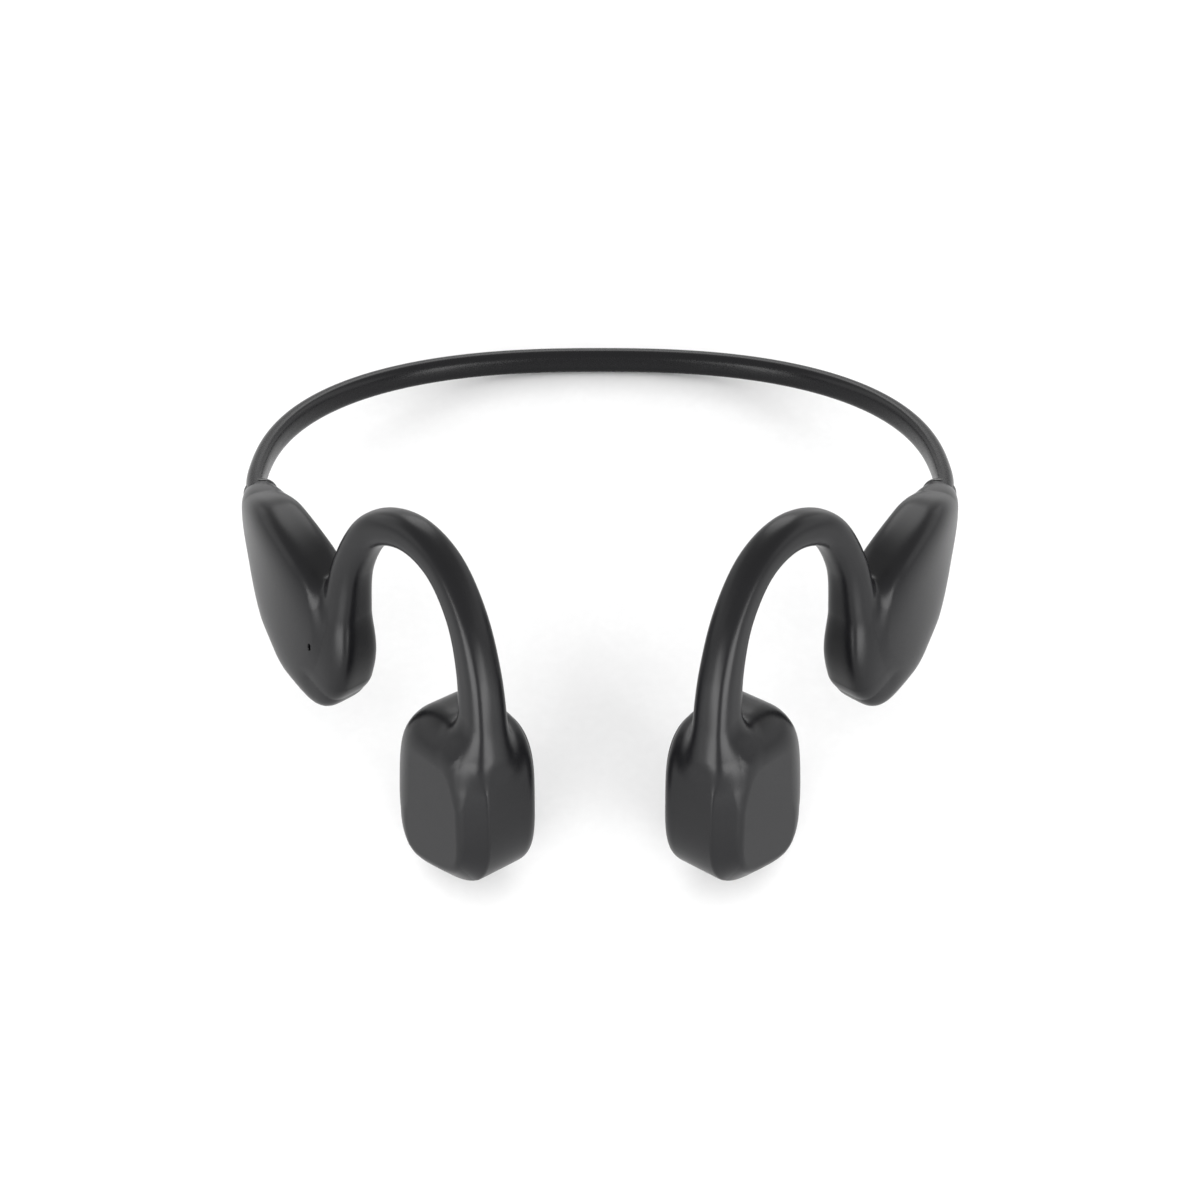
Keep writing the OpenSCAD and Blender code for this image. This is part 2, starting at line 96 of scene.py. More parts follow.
def bent(flat):
    """Flat pattern [along, up, outwards] to the worn frame: the plan line plus outwards times its normal."""
    angle = heading(flat[..., 0])
    x = np.interp(flat[..., 0], fine_along, fine_x) + flat[..., 2] * np.cos(angle)
    y = np.interp(flat[..., 0], fine_along, fine_y) - flat[..., 2] * np.sin(angle)
    return np.stack([x, y, flat[..., 1]], axis=-1)


def bent_direction(flat, slope):
    """A slope [along, up, outwards] of a field at flat, turned into a worn-frame normal."""
    angle = heading(flat[..., 0])
    turn = np.gradient(fine_heading, fine_along)
    stretch = 1 + flat[..., 2] * np.interp(flat[..., 0], fine_along, turn)
    along = slope[..., 0] / stretch
    x = -np.sin(angle) * along + np.cos(angle) * slope[..., 2]
    y = -np.cos(angle) * along - np.sin(angle) * slope[..., 2]
    normal = np.stack([x, y, slope[..., 1]], axis=-1)
    return normal / np.linalg.norm(normal, axis=-1, keepdims=True)


def tipped(worn):
    """Worn-frame direction turned nose down about X."""
    c, s = math.cos(REST_PITCH), math.sin(REST_PITCH)
    y = worn[..., 1] * c + worn[..., 2] * s
    z = worn[..., 2] * c - worn[..., 1] * s
    return np.stack([worn[..., 0], y, z], axis=-1)


# %% [markdown]
# The neckband is a superellipse in plan from the middle of the back to its widest place, and
# then an arc into the pod.  A superellipse keeps a flat back and full sides with one number,
# its power, where a spline would need many points.

# %% The band's line and the table's shift
BAND_BACK = 72.0
BAND_POWER = 2.4
END_RADIUS = 40.0
HINGE_TURN = math.radians(26)
BAND_OUT = 1.6
band_end = bent(np.array([0, BAND_UP, BAND_OUT]))
band_half = band_end[0] + END_RADIUS * (1 - math.cos(HEADING_IS[0]))
widest_y = band_end[1] + END_RADIUS * math.sin(HEADING_IS[0])


def signed_power(value, power):
    """Power of the size of value, with value's sign."""
    return np.sign(value) * np.abs(value) ** power


def back_line(turn):
    """Plan points of the band's superellipse at angle turn from the middle of the back."""
    x = band_half * signed_power(np.sin(turn), 2 / BAND_POWER)
    y = widest_y + (BAND_BACK - widest_y) * signed_power(np.cos(turn), 2 / BAND_POWER)
    return np.stack([x, y], axis=-1)


hinge_plan = back_line(np.array(HINGE_TURN))
hinge_worn = np.array([hinge_plan[0], hinge_plan[1], BAND_UP])
table_shift = np.array(joints["band_flex_left"]["pos_m"]) / MM - tipped(hinge_worn)
print("Shift from worn to table, mm:", table_shift.round(3))


def seated(worn):
    """Worn-frame points in mm to the row frame in metres."""
    return (tipped(worn) + table_shift) * MM


# %% [markdown]
# Two helpers put numbers into Blender.  One makes a mesh object whose place is in its vertices,
# the other skins a stack of rings and closes both ends with a pole.

# %% Helpers that make meshes
SIDES = {"left": 1, "right": -1}


def make_piece(name, points, faces, material, body=None, replaces=(), normals=None, sharp=40):
    """A smooth shaded mesh object with its body, slot and the CAD nodes it stands for."""
    mesh = bpy.data.meshes.new(name)
    mesh.from_pydata(points.tolist(), [], [list(face) for face in faces])
    mesh.validate()
    mesh.shade_smooth()
    if normals is None:
        mesh.set_sharp_from_angle(angle=math.radians(sharp))
    else:
        mesh.normals_split_custom_set_from_vertices(normals.tolist())
    piece = bpy.data.objects.new(name, mesh)
    bpy.context.scene.collection.objects.link(piece)
    mesh.materials.append(material)
    if body:
        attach(piece, body)
    if replaces:
        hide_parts(*replaces)
    return piece


def skin_rings(rings):
    """Quads between neighbouring rings [ring, point, xyz], with a fan to the middle of each end ring."""
    count, around = rings.shape[:2]
    ends = np.stack([rings[0].mean(0), rings[-1].mean(0)])
    points = np.concatenate([rings.reshape(-1, 3), ends])
    here = np.arange(around)
    after = (here + 1) % around
    row = np.arange(count - 1)[:, None] * around
    quads = np.stack([row + here, row + after, row + around + after, row + around + here], axis=-1)
    first = np.stack([after, here, np.full(around, count * around)], axis=-1)
    last = (count - 1) * around + np.stack([here, after, np.full(around, around + 1)], axis=-1)
    faces = quads.reshape(-1, 4).tolist() + first.tolist() + last.tolist()
    return points, faces


def outward_faces(points, faces):
    """The faces, all turned over if the volume that they enclose comes out negative."""
    volume = 0.0
    for size in {len(face) for face in faces}:
        corners = points[np.array([face for face in faces if len(face) == size])]
        for k in range(1, size - 1):
            cross = np.cross(corners[:, k], corners[:, k + 1])
            volume += np.einsum("ij,ij->", corners[:, 0], cross)
    return faces if volume > 0 else [face[::-1] for face in faces]


def both_sides(points, side):
    """Points of the left arm, or of its mirror image."""
    return points * np.array([SIDES[side], 1, 1])


def oval(half_wide, half_high, power, count):
    """Superellipse: cosine and sine raised to 2/power, so its corners grow squarer as the power rises."""
    turn = np.linspace(0, 2 * np.pi, count, endpoint=False)
    wide = half_wide * signed_power(np.cos(turn), 2 / power)
    high = half_high * signed_power(np.sin(turn), 2 / power)
    return np.stack([wide, high], axis=-1)

# %% [markdown]
# ## Finishes
# Every finish is a Principled shader with noise on Object coordinates, so the grain sits on the
# piece and has a size in real millimetres.  One helper adds a node; another turns hex to linear.

# %% Material helpers
CLOUD_MM = 9.0
GRAIN_DETAIL, GRAIN_ROUGHNESS, CLOUD_DETAIL = 3.0, 0.6, 2.0
RAMP_DARK, RAMP_LIGHT = 0.1, 0.45


def linear(hex_colour):
    """sRGB hex to linear RGBA: each channel through the sRGB curve."""
    channels = [int(hex_colour[i:i + 2], 16) / 255 for i in (1, 3, 5)]
    curve = [c / 12.92 if c <= 0.04045 else ((c + 0.055) / 1.055) ** 2.4 for c in channels]
    return (*curve, 1.0)


def add_node(tree, kind, sockets=None, **settings):
    """Adds a node, sets its settings, and gives each named socket a value or a link."""
    made = tree.nodes.new(kind)
    for key, value in settings.items():
        setattr(made, key, value)
    for key, value in (sockets or {}).items():
        if isinstance(value, bpy.types.NodeSocket):
            tree.links.new(value, made.inputs[key])
        else:
            made.inputs[key].default_value = value
    return made


def finish(name, light, dark, roughness, grain_mm, bump_mm, stretch=(1, 1, 1), spread=0.06, **shader):
    """A finish whose colour and roughness drift over noise of grain_mm, with the same noise as relief."""
    material = bpy.data.materials.new(name)
    material.use_nodes = True
    tree = material.node_tree
    tree.nodes.clear()
    place = add_node(tree, "ShaderNodeTexCoord").outputs["Object"]
    scaled = add_node(tree, "ShaderNodeMapping", {"Vector": place, "Scale": stretch}).outputs["Vector"]
    grain = add_node(tree, "ShaderNodeTexNoise", {
        "Vector": scaled, "Scale": 1 / (grain_mm * MM),
        "Detail": GRAIN_DETAIL, "Roughness": GRAIN_ROUGHNESS}).outputs["Fac"]
    cloud = add_node(tree, "ShaderNodeTexNoise", {
        "Vector": scaled, "Scale": 1 / (CLOUD_MM * MM), "Detail": CLOUD_DETAIL}).outputs["Fac"]
    mixed = add_node(tree, "ShaderNodeMath", {0: grain, 1: cloud}, operation="MULTIPLY").outputs[0]
    colour = add_node(tree, "ShaderNodeValToRGB", {"Fac": mixed})
    colour.color_ramp.elements[0].position = RAMP_DARK
    colour.color_ramp.elements[0].color = linear(dark)
    colour.color_ramp.elements[1].position = RAMP_LIGHT
    colour.color_ramp.elements[1].color = linear(light)
    gloss = add_node(tree, "ShaderNodeMapRange", {
        "Value": grain, "To Min": roughness - spread, "To Max": roughness + spread}).outputs["Result"]
    relief = add_node(tree, "ShaderNodeBump", {"Height": grain, "Strength": 1.0, "Distance": bump_mm * MM})
    values = {"Base Color": colour.outputs["Color"], "Roughness": gloss, "Normal": relief.outputs["Normal"]}
    values.update({key.replace("_", " "): value for key, value in shader.items()})
    skin = add_node(tree, "ShaderNodeBsdfPrincipled", values)
    add_node(tree, "ShaderNodeOutputMaterial", {"Surface": skin.outputs["BSDF"]})
    return material


# %% [markdown]
# The arms are moulded black plastic with a soft-touch coat: the mould's fine spark texture
# breaks the reflections up, so lights show as broad grey sheens and never as sharp spots.  The
# real texture is about 0.1 mm; it is drawn at 0.3 mm so that it shows.

# %% The black skins
moulded_black = finish("moulded_black", "#0f0f11", "#0c0c0e", 0.3, 0.3, 0.002, IOR=1.5,
                       Specular_IOR_Level=0.22)
# Silicone over the band is a little smoother than the pods, with the same black
band_silicone = finish("band_silicone", "#101012", "#0d0d0f", 0.27, 0.4, 0.0015, IOR=1.45,
                       Specular_IOR_Level=0.26)
# The contact pads are dusted matte so that they don't stick to skin
pad_silicone = finish("pad_silicone", "#1a1a1c", "#151517", 0.58, 0.25, 0.006, IOR=1.43)
key_rubber = finish("key_rubber", "#161618", "#121214", 0.45, 0.22, 0.004, IOR=1.5)
# The collar comes from a polished mould and is the only shiny black
polished_black = finish("polished_black", "#101012", "#0c0c0e", 0.2, 0.5, 0.001, IOR=1.5)

# %% [markdown]
# Inside are metals, a pouch cell and boards.  Metals keep the default IOR: a metal's colour and
# roughness say everything.  Drawn and rolled metals get their grain stretched along the draw.

# %% Finishes of the inner pieces
drawn_alloy = finish("drawn_titanium_alloy", "#b5b0aa", "#96918b", 0.32, 0.2, 0.003, (1, 1, 0.15),
                     Metallic=1.0)
zinc_steel = finish("zinc_plated_steel", "#a9abae", "#8d9093", 0.35, 0.4, 0.002, Metallic=1.0)
bright_nickel = finish("bright_nickel", "#c9c5bb", "#b8b4aa", 0.14, 0.6, 0.001, Metallic=1.0)
enamelled_copper = finish("enamelled_copper_winding", "#c47a45", "#8a4a24", 0.3, 0.25, 0.02, (1, 0.1, 1),
                          Metallic=1.0, Coat_Weight=0.6)
spring_copper = finish("beryllium_copper", "#c9a15a", "#a98245", 0.28, 0.3, 0.002, (0.3, 1, 1), Metallic=1.0)
turned_aluminium = finish("turned_aluminium", "#c3c5c8", "#a9abae", 0.3, 0.2, 0.003, (1, 0.2, 1),
                          Metallic=1.0)
pouch_foil = finish("pouch_cell_foil", "#b9bcc0", "#9a9da1", 0.38, 1.2, 0.03, Metallic=1.0)
solder_mask = finish("green_solder_mask", "#1f6b3a", "#12452a", 0.25, 0.5, 0.01, IOR=1.55, Coat_Weight=0.4)
tinned_steel = finish("tinned_steel", "#bdbdbd", "#a2a2a2", 0.3, 0.5, 0.002, Metallic=1.0)
contact_gold = finish("gold_plate", "#e3b55c", "#cf9e48", 0.2, 0.4, 0.001, Metallic=1.0)
cable_jacket = finish("cable_jacket", "#3a3a3d", "#2b2b2e", 0.5, 0.3, 0.004, IOR=1.5)
seal_rubber = finish("seal_rubber", "#161616", "#101010", 0.65, 0.3, 0.01, IOR=1.52)
switch_nylon = finish("moulded_nylon", "#9a9a98", "#84847f", 0.5, 0.3, 0.004, IOR=1.53)

# %% [markdown]
# Each CAD node keeps its shape and takes the finish of its material slot.

# %% Dress the CAD nodes
SLOT_FINISH = {
    "moulded_shell": moulded_black, "collar_plastic": polished_black, "band_silicone": band_silicone,
    "pad_silicone": pad_silicone, "key_rubber": key_rubber, "memory_alloy": drawn_alloy,
    "cable_jacket": cable_jacket, "seal_rubber": seal_rubber, "soft_iron": zinc_steel,
    "magnet_nickel": bright_nickel, "coil_copper": enamelled_copper, "spring_copper": spring_copper,
    "plate_aluminium": turned_aluminium, "cell_foil": pouch_foil, "board_green": solder_mask,
    "shield_tin": tinned_steel, "contact_gold": contact_gold, "switch_nylon": switch_nylon,
}
slot_of = {part["node"]: part["material_slot"] for part in frame["record"]["subparts"]}
for node_name, node_object in frame["nodes"].items():
    node_object.data.materials.clear()
    node_object.data.materials.append(SLOT_FINISH[slot_of[node_name]])
print("Dressed", len(frame["nodes"]), "CAD nodes in", len(SLOT_FINISH), "finishes")

# %% [markdown]
# ## The neckband
# The real band is one silicone sleeve over a sprung wire.  It is carried as a rounded oval
# along the plan line, in two halves, one for each side, that meet at the middle of the back
# with the same ring, and no step shows between them.

# %% Sweep the band's two halves
BAND_THICK, BAND_HIGH, SECTION_POWER = 3.7, 5.44, 2.6
BAND_AROUND = 56
BACK_RINGS, ARC_RINGS = 150, 24
MOUTH_ALONG, MOUTH_OUT = (1.0, 2.4), 1.5
turns = np.linspace(0, math.pi / 2, BACK_RINGS)
arc_turns = np.linspace(0, HEADING_IS[0], ARC_RINGS)[1:]
arc_line = np.stack([
    band_half - END_RADIUS * (1 - np.cos(arc_turns)), widest_y - END_RADIUS * np.sin(arc_turns)], axis=-1)
mouth_line = bent(np.array([[along, BAND_UP, MOUTH_OUT] for along in MOUTH_ALONG]))[:, :2]
band_line = np.concatenate([back_line(turns), arc_line, mouth_line])


def band_rings(line):
    """The oval section at each plan point, standing square to the line's direction there."""
    way = np.gradient(line, axis=0)
    way[0] = (1, 0)
    way /= np.linalg.norm(way, axis=1, keepdims=True)
    section = oval(BAND_THICK / 2, BAND_HIGH / 2, SECTION_POWER, BAND_AROUND)
    x = line[:, None, 0] + section[None, :, 0] * -way[:, None, 1]
    y = line[:, None, 1] + section[None, :, 0] * way[:, None, 0]
    z = BAND_UP + np.broadcast_to(section[None, :, 1], x.shape)
    return np.stack([x, y, z], axis=-1)


# The band's direction at the hinge, from points this small turn to each side of it
SMALL_TURN = 0.01
hinge_way = back_line(np.array([HINGE_TURN - SMALL_TURN, HINGE_TURN + SMALL_TURN]))
hinge_way = (hinge_way[1] - hinge_way[0]) / np.linalg.norm(hinge_way[1] - hinge_way[0])
band_points, band_faces = skin_rings(band_rings(band_line))
for side in SIDES:
    worn = both_sides(band_points, side)
    stood_for = ["sleeve_" + side] + (["band_sleeve"] if side == "left" else [])
    half = make_piece("band_" + side, seated(worn), outward_faces(worn, band_faces), band_silicone,
                      replaces=stood_for, sharp=60)
    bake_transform(half)
print("Band line:", len(band_line), "rings, half width", round(float(band_half), 1), "mm")

# %% [markdown]
# ## The arms
# A pod, a hook and a transducer's housing are moulded as one skin.  Three shapes that melt into
# one another with small fillets can't be one grid of two parameters, so the skin is made another
# way: as the zero level of a distance field.  The pod's and the hook's outlines are joined in the
# sheet first, so no crease runs where they meet.  A smooth minimum adds the housing with a
# fillet, and a maximum cuts the openings with crisp edges.

# %% Rows of the pod and the hook
# Each row: along, up, outwards, half width in the sheet, half thickness, power of the section
POD_ROWS = np.array([
    (-1, 20.6, 0.5, 3.6, 3.5, 2.3), (5, 19.9, 0.3, 5.9, 4.8, 3), (13, 17.2, 0, 10.8, 5.6, 4),
    (21, 11.8, 0, 13.9, 5.9, 4.6), (26.8, 6.2, 0, 13.5, 5.8, 4.6)])
HOOK_ROWS = np.array([
    (31.8, -2.2, 0, 6.9, 5.3, 4.2), (33.4, 0.4, 0, 7.1, 5.5, 4.2), (35.6, 5, 0, 5.9, 5.4, 3.8),
    (38, 14, 0, 4.2, 4.4, 2.9), (41, 25, 0, 3.5, 3.6, 2.6), (47.5, 34.2, 0, 3.35, 3.4, 2.6),
    (57, 37.1, 0, 3.35, 3.4, 2.6), (66.2, 34, 0, 3.35, 3.4, 2.6), (72.8, 26, 0.1, 3.4, 3.4, 2.8),
    (76.2, 16, 0.3, 3.7, 3.6, 3), (77.4, 6, 0.6, 4.1, 4, 3), (77.6, 1, 0.8, 4.2, 4.1, 3)])
SAMPLE_MM = 0.1
CURVE_STEPS = 80
COARSE = 4


def even_path(rows):
    """Smooth curve through the rows, resampled at even steps of length: the cubic through four
    neighbouring rows, from the second to the third."""
    padded = np.concatenate([[2 * rows[0] - rows[1]], rows, [2 * rows[-1] - rows[-2]]])
    t = np.linspace(0, 1, CURVE_STEPS, endpoint=False)[None, :, None]
    a, b, c, d = [padded[k:len(padded) - 3 + k, None, :] for k in range(4)]
    curve = 0.5 * (2 * b + (c - a) * t + (2 * a - 5 * b + 4 * c - d) * t ** 2
                   + (3 * b - a - 3 * c + d) * t ** 3)
    curve = np.concatenate([curve.reshape(-1, rows.shape[1]), rows[-1:]])
    length = np.concatenate([[0], np.cumsum(np.linalg.norm(np.diff(curve[:, :2], axis=0), axis=1))])
    even = np.arange(0, length[-1], SAMPLE_MM)
    return np.stack([np.interp(even, length, column) for column in curve.T], axis=-1)


def nearest_start(path, places):
    """Length along the path of its sample nearest to each place, by comparing all pairs."""
    gaps = places[:, None, :] - path[None, ::COARSE, :2]
    return COARSE * SAMPLE_MM * np.argmin(np.einsum("ijk,ijk->ij", gaps, gaps), axis=1)


LOOKUP_MM, FOOT_STEPS = 1.0, 7
LEVEL_FLOOR, SLOPE_FLOOR = 1e-9, 1e-4
LOOKUP_LOW = np.array([-8.0, -36.0])
LOOKUP_SIZE = (104, 84)


def make_sweep(rows):
    """A path with its direction, and the nearest sample for each cell of a coarse lookup grid."""
    path = even_path(rows)
    way = np.gradient(path[:, :2], axis=0)
    way /= np.linalg.norm(way, axis=1, keepdims=True)
    cells = np.stack(np.meshgrid(*[np.arange(n) for n in LOOKUP_SIZE], indexing="ij"), axis=-1)
    places = LOOKUP_LOW + LOOKUP_MM * cells.reshape(-1, 2)
    return {"path": path, "way": way, "at": SAMPLE_MM * np.arange(len(path)),
            "start": nearest_start(path, places).reshape(LOOKUP_SIZE)}


def foot_on_path(sweep, flat):
    """Foot of each point on the path, from the lookup and a few steps along the path's direction:
    its length along the path, and the distances across and past it."""
    cell = np.rint((flat[:, :2] - LOOKUP_LOW) / LOOKUP_MM).astype(int)
    cell = np.clip(cell, 0, np.array(LOOKUP_SIZE) - 1)
    foot = sweep["start"][cell[:, 0], cell[:, 1]]
    at, path, way = sweep["at"], sweep["path"], sweep["way"]
    for _ in range(FOOT_STEPS):
        centre = np.stack([np.interp(foot, at, path[:, k]) for k in (0, 1)], axis=-1)
        forward = np.stack([np.interp(foot, at, way[:, k]) for k in (0, 1)], axis=-1)
        past = np.einsum("ij,ij->i", flat[:, :2] - centre, forward)
        foot = np.clip(foot + past, 0, at[-1])
    centre = np.stack([np.interp(foot, at, path[:, k]) for k in (0, 1)], axis=-1)
    forward = np.stack([np.interp(foot, at, way[:, k]) for k in (0, 1)], axis=-1)
    gap = flat[:, :2] - centre
    past = np.einsum("ij,ij->i", gap, forward)
    across = np.abs(gap[:, 0] * forward[:, 1] - gap[:, 1] * forward[:, 0])
    return foot, across, np.where((foot <= 0) | (foot >= at[-1]), past, 0)


def to_distance(parts, power):
    """Superellipse of any number of (size, half) pairs; the level set r is made a distance by
    dividing r - 1 by the size of its slope."""
    level = sum((size / half) ** power for size, half in parts) ** (1 / power) + LEVEL_FLOOR
    slope = np.sqrt(sum(((size / half) ** (power - 1) / half) ** 2 for size, half in parts))
    return (level - 1) / (slope * level ** (1 - power) + SLOPE_FLOOR)


def outline_distance(sweep, flat):
    """Distance in the sheet to the outline swept along a path, its ends rounded by their half
    width, and the row there: middle, half width, half thickness and power."""
    foot, across, past = foot_on_path(sweep, flat)
    row = [np.interp(foot, sweep["at"], sweep["path"][:, k]) for k in (2, 3, 4, 5)]
    return to_distance([(across, row[1]), (np.abs(past), row[1])], END_POWER), row


def smooth_min(a, b, fillet):
    """The lesser of two distances, with a round fillet where they are within fillet of each other."""
    share = np.clip(0.5 + 0.5 * (b - a) / fillet, 0, 1)
    return b * (1 - share) + a * share - fillet * share * (1 - share)


def smooth_max(a, b, fillet):
    """The greater of two distances, with its edge rounded over fillet."""
    return -smooth_min(-a, -b, fillet)


pod_sweep = make_sweep(POD_ROWS)
hook_sweep = make_sweep(HOOK_ROWS)
print("Pod path", round(pod_sweep["at"][-1], 1), "mm, hook path", round(hook_sweep["at"][-1], 1), "mm")

# %% [markdown]
# The housing is a squarish oval box with a broad crisp chamfer round its outer face, and a
# mouth on the head side that holds the contact pad.  It is rigid, so it is measured in its own
# frame: forwards, outwards and up from its middle.

# %% The transducer's housing
DRIVER_WIDE, DRIVER_HIGH, DRIVER_POWER = 25.4, 33.56, 3.0
INNER_RIM, OUTER_FACE, CHAMFER = -8.0, 8.2, 4.0
MOUTH_INSET, MOUTH_FLOOR = 2.0, -2.9
# Where the chamfer widens, and its share where it is narrow
BROAD_FORWARD, BROAD_UP, NARROW_SHARE = (-6, 8), (-6, 14), 0.4
# Where its edges turn crisp, the rounding at both ends of that, and of the face and the rim
CRISP_AT, CRISP_MM, FACE_ROUND, RIM_ROUND = (-4, 6), (2.4, 0.25), 0.5, 3.0
driver_middle = bent(np.array([DRIVER_AT[0], DRIVER_AT[1], 0.0]))
driver_forward = np.array([-math.sin(DRIVER_HEADING), -math.cos(DRIVER_HEADING), 0])
driver_outward = np.array([math.cos(DRIVER_HEADING), -math.sin(DRIVER_HEADING), 0])


def driver_outline(forward, up, inset):
    """Distance to the housing's oval outline, drawn in by inset."""
    return to_distance([(np.abs(forward), DRIVER_WIDE / 2 - inset), (np.abs(up), DRIVER_HIGH / 2 - inset)],
                       DRIVER_POWER)


def driver_frame(worn):
    """Worn-frame points as forwards, outwards and up from the transducer's middle."""
    gap = worn - driver_middle
    return gap @ driver_forward, gap @ driver_outward, gap[:, 2]


def housing_distance(worn):
    """Oval box: the outline, cut by the chamfer's cone, the outer face and the rim.  The chamfer
    is broad in front and on top, its edges crisp at the lower front and soft elsewhere."""
    forward, outward, up = driver_frame(worn)
    side = driver_outline(forward, up, 0)
    broad = np.maximum(np.interp(forward, BROAD_FORWARD, (0, 1)), np.interp(up, BROAD_UP, (0, 1)))
    width = CHAMFER * (NARROW_SHARE + (1 - NARROW_SHARE) * broad)
    chamfer = (side + outward - OUTER_FACE + width) / math.sqrt(2)
    crisp = np.interp(forward - up, CRISP_AT, CRISP_MM)
    body = smooth_max(side, chamfer, crisp)
    body = smooth_max(body, outward - OUTER_FACE, FACE_ROUND + crisp)
    return smooth_max(body, INNER_RIM - outward, RIM_ROUND)


def mouth_distance(worn):
    """The recess in the head side that the contact pad moves in."""
    forward, outward, up = driver_frame(worn)
    return np.maximum(driver_outline(forward, up, MOUTH_INSET), outward - MOUTH_FLOOR)


# %% [markdown]
# A field becomes a mesh by dual contouring: every cell that the surface crosses gets one point,
# placed where the tangent planes of its crossings meet, so that chamfers and openings keep their
# edges.  All cells are solved together as arrays.

# %% Field to mesh
SLOPE_MM = 0.02
# How firmly a point is held to the mean of its crossings
PULL = 0.06
# Farthest moves of a point in steps of the grid, and the least slope squared
SOLVE_REACH, SETTLE_REACH, LEAST_STEEP = 0.9, 0.3, 0.05
SLAB_ROWS = 16


def field_slope(field, points):
    """Slope of a field by central differences along the three axes."""
    steps = SLOPE_MM * np.eye(3)
    rises = [field(points + step) - field(points - step) for step in steps]
    return np.stack([rise / (2 * SLOPE_MM) for rise in rises], axis=-1)


def field_in_slabs(field, axes):
    """The field on a regular grid, worked out a slab at a time to save memory."""
    slabs = []
    for part in np.array_split(axes[0], max(1, len(axes[0]) // SLAB_ROWS)):
        grid = np.stack(np.meshgrid(part, axes[1], axes[2], indexing="ij"), axis=-1)
        slabs.append(field(grid.reshape(-1, 3)).reshape(grid.shape[:3]))
    return np.concatenate(slabs)


def contour(field, low, high, step):
    """Points, quads and unit slopes of the field's zero level inside a box."""
    axes = [np.arange(a, b + step, step) for a, b in zip(low, high)]
    level = field_in_slabs(field, axes)
    shape = np.array(level.shape)
    crossings, cells = [], []
    for axis in range(3):
        ahead = np.moveaxis(level, axis, 0)
        before, after = ahead[:-1], ahead[1:]
        hit = np.argwhere((before < 0) != (after < 0))
        share = before[tuple(hit.T)] / (before[tuple(hit.T)] - after[tuple(hit.T)])
        corner = np.insert(hit[:, 1:], axis, hit[:, 0], axis=1)
        inner = np.delete(corner, axis, axis=1)
        limit = np.delete(shape, axis)
        kept = ((inner > 0) & (inner < limit - 1)).all(axis=1)
        corner, share, inside = corner[kept], share[kept], (before < 0)[tuple(hit.T)][kept]
        place = corner.astype(float)
        place[:, axis] += share
        crossings.append(np.array(low) + step * place)
        others = [k for k in range(3) if k != axis]
        around = np.repeat(corner[:, None, :], 4, axis=1)
        around[:, [1, 2], others[0]] -= 1
        around[:, [2, 3], others[1]] -= 1
        flip = inside if axis != 1 else ~inside
        around = np.where(flip[:, None, None], around[:, ::-1], around)
        cells.append(around)
    crossings = np.concatenate(crossings)
    cells = np.concatenate(cells)
    number = np.ravel_multi_index(np.moveaxis(cells, -1, 0), tuple(shape))
    quads = np.unique(number, return_inverse=True)[1].reshape(-1, 4)
    normal = field_slope(field, crossings)
    normal /= np.linalg.norm(normal, axis=1, keepdims=True) + 1e-12
    owner = quads.reshape(-1)
    near = np.repeat(crossings, 4, axis=0)
    tilt = np.repeat(normal, 4, axis=0)
    count = np.bincount(owner)

    def gathered(values):
        """Sum of each column over the crossings of every cell."""
        return np.stack([np.bincount(owner, column) for column in values.T], axis=-1)

    mass = gathered(near) / count[:, None]
    offset = np.einsum("ij,ij->i", tilt, near - mass[owner])
    square = gathered((tilt[:, :, None] * tilt[:, None, :]).reshape(-1, 9)).reshape(-1, 3, 3)
    pulled = square + PULL * count[:, None, None] * np.eye(3)
    shift = np.linalg.solve(pulled, gathered(tilt * offset[:, None])[..., None])[..., 0]
    points = mass + np.clip(shift, -SOLVE_REACH * step, SOLVE_REACH * step)
    slope = field_slope(field, points)
    steep = np.einsum("ij,ij->i", slope, slope)
    miss = np.clip(field(points), -SETTLE_REACH * step, SETTLE_REACH * step)
    points = points - (miss / (steep + LEAST_STEEP))[:, None] * slope
    return points, quads, slope


# %% [markdown]
# The keys, the charging contacts and the microphone's slot sit where the CAD puts them.  A key's
# frame comes from its own node: its press axis gives two directions and its corners the middle.

# %% Places of the small openings
KEY_LONG, KEY_WIDE, KEY_TOP, KEY_FLANGE = 6.0, 2.8, 0.6, 1.1
PACK_AT, PACK_TURN, POD_FACE = (21.4, 13.4), math.radians(38), -5.4
DOCK_LONG, DOCK_WIDE, DOCK_DEEP = 12.0, 4.6, 0.5
PIN_ACROSS, PIN_APART, PIN_DEEP = 1.7, 3.0, 1.5
MIC_AT, MIC_OUT, MIC_TURN = (32.9, 5.4), 3.0, math.radians(12)
MIC_LONG, MIC_WIDE, MIC_DEEP = 1.7, 0.8, 0.9


def worn_of(row_points):
    """Row-frame metres back to worn-frame millimetres."""
    moved = row_points / MM - table_shift
    c, s = math.cos(REST_PITCH), math.sin(REST_PITCH)
    return np.stack([moved[..., 0], moved[..., 1] * c - moved[..., 2] * s,
                     moved[..., 2] * c + moved[..., 1] * s], axis=-1)


def node_points(name):
    """A CAD node's corners in the row frame."""
    mesh = frame["nodes"][name].data
    flat = np.empty(3 * len(mesh.vertices))
    mesh.vertices.foreach_get("co", flat)
    return flat.reshape(-1, 3)


